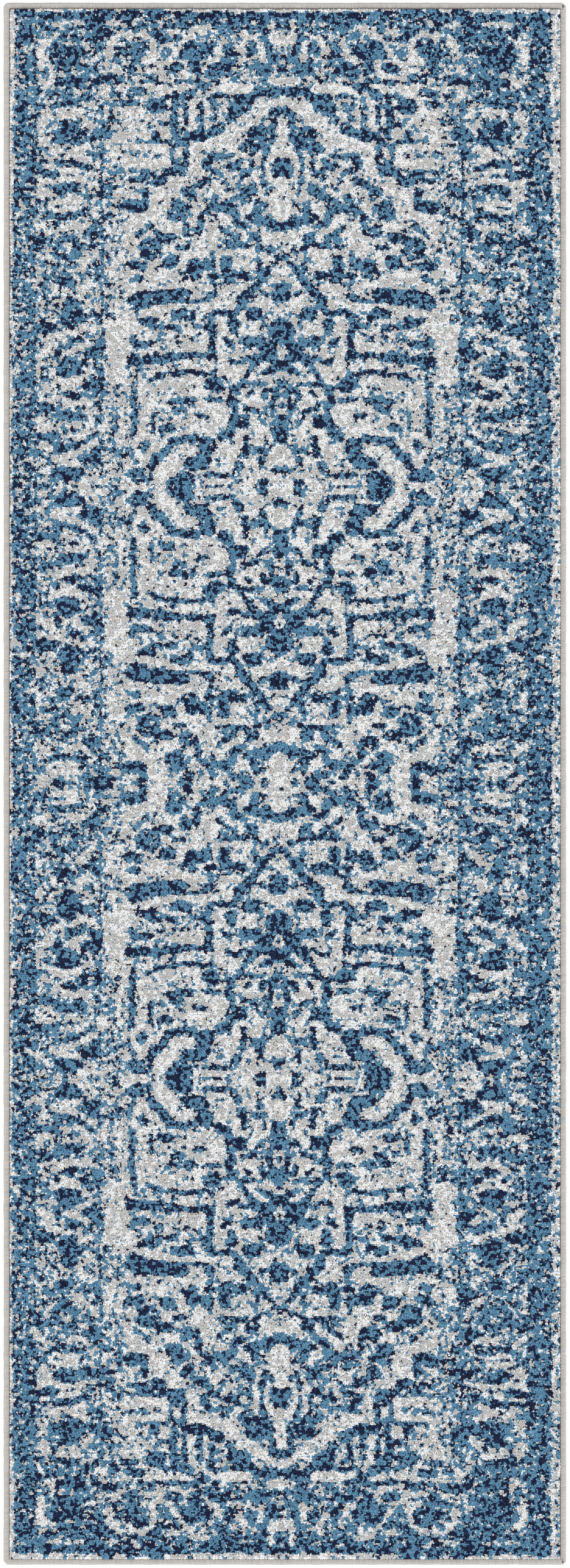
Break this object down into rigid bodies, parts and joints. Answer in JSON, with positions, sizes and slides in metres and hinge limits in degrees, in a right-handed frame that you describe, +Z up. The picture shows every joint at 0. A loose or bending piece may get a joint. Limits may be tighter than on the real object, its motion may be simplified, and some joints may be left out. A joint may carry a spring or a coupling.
{
  "type": "runner rug",
  "caption": "Long narrow cut-pile rug with a mirrored, worn-look medallion pattern in ivory, greige, blue and navy, bound on all sides with grey serging; it lies flat on a floor.",
  "frame": {"origin": "middle of the underside, on the floor", "axes": "+X across the rug, +Y along it towards the head end, +Z up through the pile"},
  "size_m": [0.79, 2.195, 0.011],
  "materials": {
    "pile_ivory": "soft cut pile",
    "pile_greige": "soft cut pile",
    "pile_blue": "soft cut pile",
    "pile_navy": "soft cut pile",
    "binding_yarn": "ribbed overcast yarn",
    "lock_thread": "fine twisted thread",
    "padding_cord": "twisted cord",
    "weft_yarn": "plain woven yarn",
    "warp_yarn": "plain straight yarn",
    "latex": "thin matt latex size"
  },
  "bodies": {
    "root": {"cut_pile": "pile_blue", "face_weft": "weft_yarn", "stuffer_warp": "warp_yarn", "back_weft": "weft_yarn", "latex_coating": "latex", "edge_cord_left": "padding_cord", "edge_cord_right": "padding_cord", "edge_cord_head": "padding_cord", "edge_cord_foot": "padding_cord", "serging_left": "binding_yarn", "serging_right": "binding_yarn", "serging_head": "binding_yarn", "serging_foot": "binding_yarn", "lock_stitch_left": "lock_thread", "lock_stitch_right": "lock_thread", "lock_stitch_head": "lock_thread", "lock_stitch_foot": "lock_thread", "thread_end_head": "lock_thread", "thread_end_foot": "lock_thread"}
  },
  "joints": []
}
